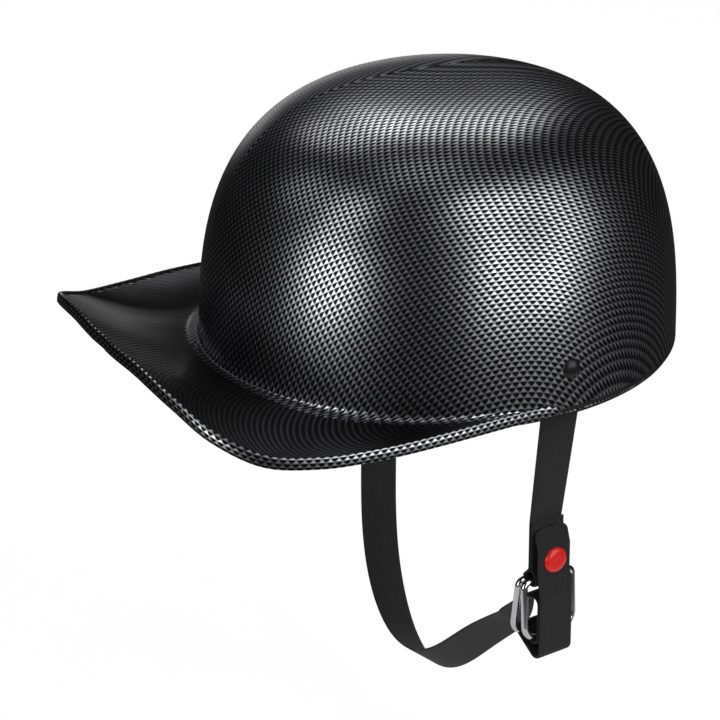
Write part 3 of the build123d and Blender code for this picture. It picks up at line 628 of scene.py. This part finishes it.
def sewn_box(name, low, high, origin, across, out):
    """Closed grains of thread: ellipses along each stitch whose size follows a half sine."""
    w, h = TAPE_WIDTH / 2 - 2.6, (high - low) / 2
    m = (low + high) / 2
    corners = [(-w, m - h), (w, m - h), (w, m + h), (-w, m + h)]
    lines = list(zip(corners, corners[1:] + corners[:1])) + [(corners[0], corners[2]), (corners[1], corners[3])]
    s = np.linspace(0, 1, 7)[:, None]
    t = np.linspace(0, 2 * math.pi, 8, endpoint=False)[None, :]
    size = np.sin(math.pi * s) ** 0.6
    size[0] = size[-1] = 0
    grains = []
    for x, y, heading in sum((stitch_line(a, b) for a, b in lines), []):
        along, side = np.array([math.cos(heading), math.sin(heading)]), np.array([-math.sin(heading), math.cos(heading)])
        flat = np.array([x, y]) + (s - 0.5)[..., None] * 2.1 * along + (0.36 * size * np.cos(t))[..., None] * side
        lift = 0.02 + 0.34 * size * (0.5 + 0.5 * np.sin(t)) + 0 * s
        grains.append(origin + flat[..., :1] * across + flat[..., 1:] * UP + lift[..., None] * out)
    parts = [grid_piece(name, g, close_columns=True) for g in grains[:1]]
    mesh = parts[0].data
    solid = bmesh.new()
    solid.from_mesh(mesh)
    first = np.array([v.co for v in solid.verts])
    base = np.asarray(grains[0]).reshape(-1, 3) * MM
    order = [int(np.argmin(((base - co) ** 2).sum(1))) for co in first]
    faces = [[v.index for v in face.verts] for face in solid.faces]
    solid.free()
    verts = np.concatenate([(g.reshape(-1, 3) * MM)[order] for g in grains])
    quads = [[k * len(order) + v for v in face] for k in range(len(grains)) for face in faces]
    mesh.clear_geometry()
    mesh.from_pydata(verts.tolist(), [], quads)
    mesh.polygons.foreach_set("use_smooth", np.ones(len(mesh.polygons), bool))
    print(name, len(grains), "stitches")
    return parts[0]


def thread_finish():
    f = Finish("black_thread")
    solid = f.add("ShaderNodeTexCoord", {}, {}, output=3)
    ply = f.noise(solid, 2500.0, 2.0)
    return f.done(f.shader(f.mix(ply, grey(0.02), grey(0.07)), 0.5, bump=(ply, 0.0001, 0.5), Specular_IOR_Level=0.4))


thread_material = thread_finish()
face_out = INNER_RUN - TAPE_THICK / 2
sewing = [
    ("stitches_left_hanger", sewn_box("sewing_left_hanger", -25.6 + RIVET_Z, -21.0 + RIVET_Z,
     np.array([face_out, RIVET_Y, 0.0]), np.array([0.0, 1.0, 0.0]), np.array([-1.0, 0.0, 0.0]))),
    ("stitches_right_hanger", sewn_box("sewing_right_hanger", -25.6 + RIVET_Z, -21.0 + RIVET_Z,
     np.array([-face_out, RIVET_Y, 0.0]), np.array([0.0, 1.0, 0.0]), np.array([1.0, 0.0, 0.0]))),
    ("stitches_left_ring", sewn_box("sewing_left_ring", 22.0, 31.5, BUCKLE + OUTWARD * (LAYER / 2 + TAPE_THICK / 2),
     BESIDE, OUTWARD)),
]
for node, piece in sewing:
    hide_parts(node)
    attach(piece, "chin_strap")
    piece.data.materials.append(thread_material)

# %% [markdown]
# Inside, a knitted cloth lining covers the foam from the crown down and turns out under its edge.
# It is a closed skin two millimetres thick, lightly quilted in diamonds, and it stops short where the
# webbing comes through.

# %% Lining
LINING_OUT, LINING_IN, SKIRT = 28.6, 30.6, 5.8
SKIRT_TOP, SKIRT_LOW = 3.7, 1.6


def lining_surface():
    """Profile down the outside, out along the skirt and back, then up the quilted inside."""
    turn = np.radians(np.arange(0, 360, 1.5))[:, None]
    lift = np.sin(math.pi / 2 * np.linspace(1, 0, 30))[None, :]
    z_out = SKIRT_TOP + (HEIGHT - LINING_OUT - SKIRT_TOP) * lift
    r_out = dome_radius(turn, z_out, LINING_OUT)
    edge = dome_radius(turn, 0 * turn, SKIRT)
    wall = 101.0 / np.clip(np.abs(np.sin(turn)), 0.5, 1)
    y = -edge * np.cos(turn)
    near = np.clip((27.0 - np.abs(y - RIVET_Y)) / 3.0, 0, 1) * (np.abs(np.sin(turn)) > 0.6)
    edge = edge + (np.minimum(edge, wall) - edge) * near * near * (3 - 2 * near)
    start, stop = dome_radius(turn, 0 * turn + SKIRT_TOP, LINING_OUT), dome_radius(turn, 0 * turn + SKIRT_LOW, LINING_IN)
    s = np.linspace(0, 1, 10)[None, 1:]
    t = math.pi * np.linspace(0, 1, 9)[None, 1:]
    half = (SKIRT_TOP - SKIRT_LOW) / 2
    skirt_r = start + (edge - half - start) * s
    round_r, round_z = edge - half + half * np.sin(t), SKIRT_LOW + half + half * np.cos(t)
    back_r = edge - half + (stop + 2.0 - edge + half) * s
    bend = math.pi / 2 * np.linspace(0, 1, 6)[None, 1:]
    bend_r, bend_z = stop + 2.0 * (1 - np.sin(bend)), SKIRT_LOW + 2.0 * (1 - np.cos(bend))
    lift = np.sin(math.pi / 2 * np.linspace(0, 1, 70))[None, 1:]
    z_in = SKIRT_LOW + 2.0 + (HEIGHT - LINING_IN - SKIRT_LOW - 2.0) * lift
    r_in = dome_radius(turn, z_in, LINING_IN)
    arc = turn * 88.0
    line = np.abs(np.sin(math.pi * (arc + z_in) / 27.6)) * np.abs(np.sin(math.pi * (arc - z_in) / 27.6))
    puff = 0.55 * np.clip(line, 0, 1) ** 0.35 * np.clip((120 - z_in) / 40, 0, 1)
    r_in = r_in + 0.5 - puff
    one = 0 * turn
    radius = np.concatenate([r_out, skirt_r, round_r, back_r, bend_r, r_in], 1)
    height = np.concatenate([z_out + one, SKIRT_TOP + one + 0 * s, round_z + one, SKIRT_LOW + one + 0 * s, bend_z + one, z_in + one], 1)
    radius[:, 0] = 0
    radius[:, -1] = 0
    points = np.stack([radius * np.sin(turn), -radius * np.cos(turn), height], -1)
    return grid_piece("lining_cloth", points, close_rows=True)


lining = lining_surface()
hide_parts("comfort_lining")
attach(lining, "helmet")

# %% [markdown]
# The comfort pads are thin foam cushions in brushed cloth. Each starts as a rounded strip that follows
# the lining, its back on the shell's curve and its face crowned. A short cloth simulation with a little
# pressure puffs the cover, with the back held still, and then the sewn channels are pressed in.

# %% Pads as strips
PAD_BACK, PAD_THICK = 30.9, 6.6


def pad_strip(name, middle, half_turn, low, high):
    """Closed strip: round it a rounded box of height and depth, its depth drawn in towards the ends."""
    u = np.linspace(-1, 1, 90)[:, None]
    t = np.linspace(0, 2 * math.pi, 52, endpoint=False)[None, :]
    draw = np.clip(1 - np.abs(u) ** 8, 0, 1) ** 0.5
    turn = np.radians(middle + half_turn * u)
    tall = np.sign(np.cos(t)) * np.abs(np.cos(t)) ** 0.45
    deep = 0.5 + 0.5 * np.sign(np.sin(t)) * np.abs(np.sin(t)) ** 0.55
    corner = 0.72 + 0.28 * draw
    z = (low + high) / 2 + (high - low) / 2 * tall * corner
    crown = 0.55 + 0.45 * np.sqrt(np.clip(1 - np.abs(tall) ** 2.2, 0, 1))
    depth = 0.25 + (PAD_THICK * crown * (0.35 + 0.65 * draw) - 0.25) * deep
    radius = dome_radius(turn, z, PAD_BACK) - depth
    points = np.stack([radius * np.sin(turn), -radius * np.cos(turn), z + 0 * turn], -1)
    middle_row = points.mean(1, keepdims=True) + 0 * points
    points = np.concatenate([middle_row[:1], points, middle_row[-1:]], 0)
    return grid_piece(name, points, close_columns=True)


def crown_ring(name):
    """Closed oval ring under the crown: a rounded flat section carried round the open middle."""
    turn = np.radians(np.arange(0, 360, 3.0))[:, None]
    t = np.linspace(0, 2 * math.pi, 44, endpoint=False)[None, :]
    middle, half = 32.0, 19.6
    reach = middle + half * np.sign(np.cos(t)) * np.abs(np.cos(t)) ** 0.5
    share = reach / (HALF_LENGTH - PAD_BACK)
    back = (HEIGHT - PAD_BACK) * (1 - share**ROUND_POWER) ** (1 / RISE_POWER)
    crown = 0.5 + 0.5 * np.sqrt(np.clip(1 - (np.abs(reach - middle) / half) ** 2.2, 0, 1))
    depth = 0.3 + (PAD_THICK * crown - 0.3) * (0.5 + 0.5 * np.sign(np.sin(t)) * np.abs(np.sin(t)) ** 0.6)
    scale = (HALF_WIDTH - PAD_BACK) / (HALF_LENGTH - PAD_BACK)
    points = np.stack([scale * reach * np.sin(turn), -reach * np.cos(turn), back - depth + 0 * turn], -1)
    return grid_piece(name, points, close_rows=True, close_columns=True)


pads = {
    "brow_pad": pad_strip("brow_cushion", 0, 36, 9, 46),
    "nape_pad": pad_strip("nape_cushion", 180, 36, 9, 46),
    "temple_pad_left": pad_strip("temple_cushion_left", 90, 31, 9, 56),
    "temple_pad_right": pad_strip("temple_cushion_right", -90, 31, 9, 56),
    "crown_pad": crown_ring("crown_cushion"),
}


# %% Puffing the covers
def backing(piece):
    """How deep each point lies under the lining, in millimetres: radial for strips, upright for the crown."""
    count = len(piece.data.vertices)
    co = np.empty(count * 3)
    piece.data.vertices.foreach_get("co", co)
    co = co.reshape(-1, 3) / MM
    turn = np.arctan2(co[:, 0], -co[:, 1])
    if "crown" in piece.name:
        share = np.hypot(co[:, 0] / (HALF_WIDTH - PAD_BACK), co[:, 1] / (HALF_LENGTH - PAD_BACK))
        depth = (HEIGHT - PAD_BACK) * (1 - share**ROUND_POWER) ** (1 / RISE_POWER) - co[:, 2]
    else:
        depth = dome_radius(turn, co[:, 2], PAD_BACK) - np.hypot(co[:, 0], co[:, 1])
    return co, turn, depth


def puff(piece, most=0.9):
    """Cloth with pressure for twenty frames, the back pinned, and no point moved further than the cap."""
    before, turn, depth = backing(piece)
    group = piece.vertex_groups.new(name="held")
    group.add(np.nonzero(depth < 1.6)[0].tolist(), 1.0, "REPLACE")
    cloth = piece.modifiers.new("cover", "CLOTH")
    cloth.settings.quality = 5
    cloth.settings.mass = 0.15
    cloth.settings.use_pressure = True
    cloth.settings.uniform_pressure_force = 4.0
    cloth.settings.vertex_group_mass = "held"
    cloth.settings.shrink_min = -0.06
    cloth.settings.effector_weights.gravity = 0.0
    cloth.collision_settings.use_collision = False
    scene = bpy.context.scene
    cloth.point_cache.frame_start, cloth.point_cache.frame_end = 1, 20
    for number in range(1, 21):
        scene.frame_set(number)
    shaped = piece.evaluated_get(bpy.context.evaluated_depsgraph_get())
    after = np.empty(len(piece.data.vertices) * 3)
    shaped.data.vertices.foreach_get("co", after)
    moved = after.reshape(-1, 3) / MM - before
    piece.modifiers.remove(cloth)
    far = np.linalg.norm(moved, axis=1, keepdims=True)
    moved *= np.clip(most / np.maximum(far, 1e-6), 0, 1)
    piece.data.vertices.foreach_set("co", ((before + moved) * MM).reshape(-1))
    scene.frame_set(1)
    print(piece.name, "puffed by up to", round(float(far.max()), 2), "mm, kept", round(float(min(far.max(), most)), 2))


CHANNELS = {"brow_pad": (-18, 0, 18), "nape_pad": (162, 180, 198), "temple_pad_left": (79.67, 100.33),
            "temple_pad_right": (-100.33, -79.67)}


def press_channels(piece, node):
    """Groove with the shape of a bell across each channel, deeper where the pad is thick."""
    co, turn, depth = backing(piece)
    groove = np.zeros(len(co))
    if node == "crown_pad":
        reach = np.hypot(co[:, 0] * (HALF_LENGTH - PAD_BACK) / (HALF_WIDTH - PAD_BACK), co[:, 1])
        groove = np.exp(-((reach - 32) / 1.6) ** 2)
        co[:, 2] += 2.0 * groove * np.clip((depth - 2) / 4, 0, 1)
    else:
        for middle in CHANNELS[node]:
            off = (np.degrees(turn) - middle + 180) % 360 - 180
            groove = np.maximum(groove, np.exp(-((off * 1.65) / 1.5) ** 2))
        push = 1.9 * groove * np.clip((depth - 2) / 4, 0, 1)
        co[:, 0] += push * np.sin(turn)
        co[:, 1] -= push * np.cos(turn)
    piece.data.vertices.foreach_set("co", (co * MM).reshape(-1))
    piece.data.update()


def cloth_finish(name, dark, light, scale):
    """Brushed knit: fine loops under a soft nap, slightly uneven in tone."""
    f = Finish(name)
    solid = f.add("ShaderNodeTexCoord", {}, {}, output=3)
    loops = f.add("ShaderNodeTexVoronoi", {}, {"Vector": solid, "Scale": scale})
    nap = f.noise(solid, 700.0, 4.0)
    patch = f.noise(solid, 25.0, 2.0)
    shade = 0.5 * nap + 0.3 * patch + 0.4 * loops
    return f.done(f.shader(f.mix(shade, grey(dark), grey(light)), 0.85 + 0.1 * nap,
                           bump=(nap - 0.6 * loops, 0.0003, 0.6), Specular_IOR_Level=0.2, Sheen_Weight=0.3))


pad_material = cloth_finish("pad_knit", 0.010, 0.034, 900.0)
lining.data.materials.append(cloth_finish("lining_knit", 0.007, 0.022, 1200.0))
for node, piece in pads.items():
    puff(piece)
    press_channels(piece, node)
    piece.data.materials.append(pad_material)
    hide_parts(node)
    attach(piece, "helmet")


# %% [markdown]
# The hard pieces keep their solids and get their finishes: bright chrome for the ring wire, dull zinc on
# the hangers, nickel on the snap, a glossy red cap, black enamel on the rivet caps, rubber on the rim
# and beaded foam.

# %% Finishes of the hard pieces
def metal_finish(name, value, tint, roughness, streak):
    """Plated metal: its colour and gloss wander a little, with fine rubbing marks."""
    f = Finish(name)
    solid = f.add("ShaderNodeTexCoord", {}, {}, output=3)
    wander = f.noise(solid, 180.0, 3.0)
    marks = f.noise(f.add("ShaderNodeMapping", {}, {"Vector": solid, "Scale": (1, 1, 12)}), 1500.0, 2.0)
    colour = f.mix(wander, grey(value * 0.86, tint), grey(value, tint))
    rough = roughness + streak * marks + 0.5 * streak * wander
    return f.done(f.shader(colour, rough, bump=(marks, 0.00003, 0.3), Metallic=1.0))


def cap_finish():
    f = Finish("red_cap_gloss")
    solid = f.add("ShaderNodeTexCoord", {}, {}, output=3)
    swirl = f.noise(solid, 220.0, 2.0)
    colour = f.mix(swirl, (0.74, 0.014, 0.010, 1), (0.86, 0.026, 0.018, 1))
    return f.done(f.shader(colour, 0.2 + 0.1 * swirl, bump=(swirl, 0.0001, 0.15), Specular_IOR_Level=0.5))


def foam_finish():
    f = Finish("foam_beads")
    solid = f.add("ShaderNodeTexCoord", {}, {}, output=3)
    beads = f.add("ShaderNodeTexVoronoi", {}, {"Vector": solid, "Scale": 320.0})
    colour = f.mix(beads.step(0.1, 0.7), grey(0.03), grey(0.008))
    return f.done(f.shader(colour, 0.75 + 0.1 * beads, bump=(1 - beads, 0.0006, 0.5), Specular_IOR_Level=0.3))


chrome = metal_finish("ring_chrome", 0.86, (1.0, 1.0, 1.02), 0.05, 0.06)
zinc = metal_finish("dull_zinc", 0.55, (1.0, 1.0, 1.03), 0.32, 0.14)
nickel = metal_finish("snap_nickel", 0.72, (1.0, 0.98, 0.93), 0.16, 0.1)
enamel = plastic_finish("black_enamel", 0.006, 0.34, 0.4)
rubber = plastic_finish("rim_rubber", 0.006, 0.6, 0.25)
red = cap_finish()
foam = foam_finish()
finishes = {
    "rivet_cap_left": enamel, "rivet_cap_right": enamel, "rivet_left": zinc, "rivet_right": zinc,
    "washer_left": zinc, "washer_right": zinc, "hanger_left": zinc, "hanger_right": zinc,
    "d_ring_inner": chrome, "d_ring_outer": chrome, "snap_stud": nickel, "snap_eyelet": nickel,
    "snap_socket": nickel, "snap_cap": red, "rim_welt": rubber, "eps_liner": foam,
}
for node, material in finishes.items():
    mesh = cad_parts[node].data
    mesh.materials.clear()
    mesh.materials.append(material)
print("finished", len(finishes), "solids")

# %% [markdown]
# The studio is a pale floor under a white surround, two tall soft boxes beside the camera that draw
# the two upright bands on the dome, a box behind for the crown's soft top light, and a low fill. The
# floor shows mostly its own white to the camera, and keeps the helmet's shadow.

# %% Floor and surround
FLOOR = -0.262


def floor_finish():
    f = Finish("studio_floor")
    solid = f.add("ShaderNodeTexCoord", {}, {}, output=3)
    grain = f.noise(solid, 40.0, 2.0)
    eye = f.add("ShaderNodeLightPath", {}, {}, output=0)
    below = f.add("ShaderNodeNewGeometry", {}, {}, output=6)
    reach = f.add("ShaderNodeVectorMath", {"operation": "LENGTH"}, {0: solid}, output=1)
    white = f.mix(grain, grey(0.86), grey(0.9))
    card = f.shader(f.mix(reach.step(0.40, 0.52), white, f.mix(grain, grey(0.02), grey(0.03))), 0.9)
    pale = f.shader(white, 0.9)
    shine = f.add("ShaderNodeEmission", {}, {"Color": (1, 1, 1, 1), "Strength": 1.13})
    seen = f.add("ShaderNodeMixShader", {}, {0: 0.8, 1: pale, 2: shine})
    both = f.add("ShaderNodeMixShader", {}, {0: eye, 1: card, 2: seen})
    clear = f.add("ShaderNodeBsdfTransparent", {}, {"Color": (1, 1, 1, 1)})
    return f.done(f.add("ShaderNodeMixShader", {}, {0: below, 1: both, 2: clear}))


floor_mesh = bpy.data.meshes.new("floor")
floor_mesh.from_pydata([(-6, -6, FLOOR), (6, -6, FLOOR), (6, 6, FLOOR), (-6, 6, FLOOR)], [], [(0, 1, 2, 3)])
floor = bpy.data.objects.new("floor", floor_mesh)
bpy.context.scene.collection.objects.link(floor)
floor_mesh.materials.append(floor_finish())

world = bpy.data.worlds.new("studio")
bpy.context.scene.world = world
world.use_nodes = True
nodes, links = world.node_tree.nodes, world.node_tree.links
nodes.clear()
path = nodes.new("ShaderNodeLightPath")
seen = nodes.new("ShaderNodeMath")
seen.operation = "MAXIMUM"
links.new(path.outputs["Is Camera Ray"], seen.inputs[0])
links.new(path.outputs["Is Transmission Ray"], seen.inputs[1])
shiny = nodes.new("ShaderNodeMath")
shiny.operation = "MULTIPLY_ADD"
links.new(path.outputs["Is Glossy Ray"], shiny.inputs[0])
shiny.inputs[1].default_value = -0.085
shiny.inputs[2].default_value = 0.10
level = nodes.new("ShaderNodeMath")
level.operation = "MAXIMUM"
links.new(seen.outputs[0], level.inputs[0])
links.new(shiny.outputs[0], level.inputs[1])
sky = nodes.new("ShaderNodeBackground")
sky.inputs["Color"].default_value = (1, 1, 1, 1)
links.new(level.outputs[0], sky.inputs["Strength"])
links.new(sky.outputs[0], nodes.new("ShaderNodeOutputWorld").inputs["Surface"])


# %% Soft boxes
def soft_box(name, turn, height, distance, width, tall, watts):
    """Area lamp at a turn from the front and a height in degrees, facing the dome's middle."""
    a, e = math.radians(turn), math.radians(height)
    aim = Vector((0, 0, 0.07))
    place = aim + distance * Vector((math.sin(a) * math.cos(e), -math.cos(a) * math.cos(e), math.sin(e)))
    lamp = bpy.data.lights.new(name, "AREA")
    lamp.shape, lamp.size, lamp.size_y, lamp.energy = "RECTANGLE", width, tall, watts
    holder = bpy.data.objects.new(name, lamp)
    holder.matrix_world = Matrix.Translation(place) @ (place - aim).to_track_quat("Z", "Y").to_matrix().to_4x4()
    bpy.context.scene.collection.objects.link(holder)
    return holder


BOXES = {
    "front": (24, 5, 0.8, 1.2, 9.4), "front_left": (12, 6, 0.7, 1.4, 4.4), "front_high": (16, 38, 0.7, 1.1, 4.5),
    "side_front": (100, 10, 0.7, 1.6, 11.2), "side_high": (105, 45, 1.0, 0.8, 7.7), "side": (130, 20, 0.8, 2.0, 6.5),
    "side_low": (120, 0, 0.5, 0.8, 5.5), "side_rear": (140, 25, 0.6, 1.4, 3.2),
    "behind": (-125, 51, 1.2, 0.9, 7.6), "behind_right": (-90, 50, 1.0, 0.9, 5.0), "behind_low": (-105, -4, 1.0, 0.5, 2.0),
    "over": (60, 80, 1.0, 1.0, 1.8), "near": (-20, 40, 0.8, 0.8, 1.4),
}
for name, (turn, height, width, tall, watts) in BOXES.items():
    soft_box("box_" + name, turn, height, 2.2, width, tall, watts)
print(len(BOXES), "soft boxes")

# %% [markdown]
# The camera stands about two and a half metres off the wearer's left front, a little above, with a
# long lens and a slight roll. Its shift puts the helmet where the photograph has it.

# %% Camera
AZIMUTH, ELEVATION, ROLL = math.radians(62.945), math.radians(23.914), math.radians(0.647)
DISTANCE, PIXELS_PER_MM, CENTRE_X, CENTRE_Y, FRAME_SIZE = 2.5187, 1.78745, 438.081, 336.991, 720
back = Vector((math.sin(AZIMUTH) * math.cos(ELEVATION), -math.cos(AZIMUTH) * math.cos(ELEVATION), math.sin(ELEVATION)))
right = Vector((math.cos(AZIMUTH), math.sin(AZIMUTH), 0))
upward = back.cross(right)
right, upward = (math.cos(ROLL) * right + math.sin(ROLL) * upward, -math.sin(ROLL) * right + math.cos(ROLL) * upward)
lens = bpy.data.cameras.new("view")
lens.sensor_width = 36
lens.lens = PIXELS_PER_MM * 1000 * DISTANCE * 36 / FRAME_SIZE
lens.shift_x = (FRAME_SIZE / 2 - CENTRE_X) / FRAME_SIZE
lens.shift_y = (CENTRE_Y - FRAME_SIZE / 2) / FRAME_SIZE
camera = bpy.data.objects.new("view", lens)
turned = Matrix((right, upward, back)).transposed().to_4x4()
camera.matrix_world = Matrix.Translation(back * DISTANCE) @ turned
bpy.context.scene.collection.objects.link(camera)
bpy.context.scene.camera = camera
bpy.context.scene.view_settings.view_transform = "Standard"
print("lens", round(lens.lens, 1), "mm")
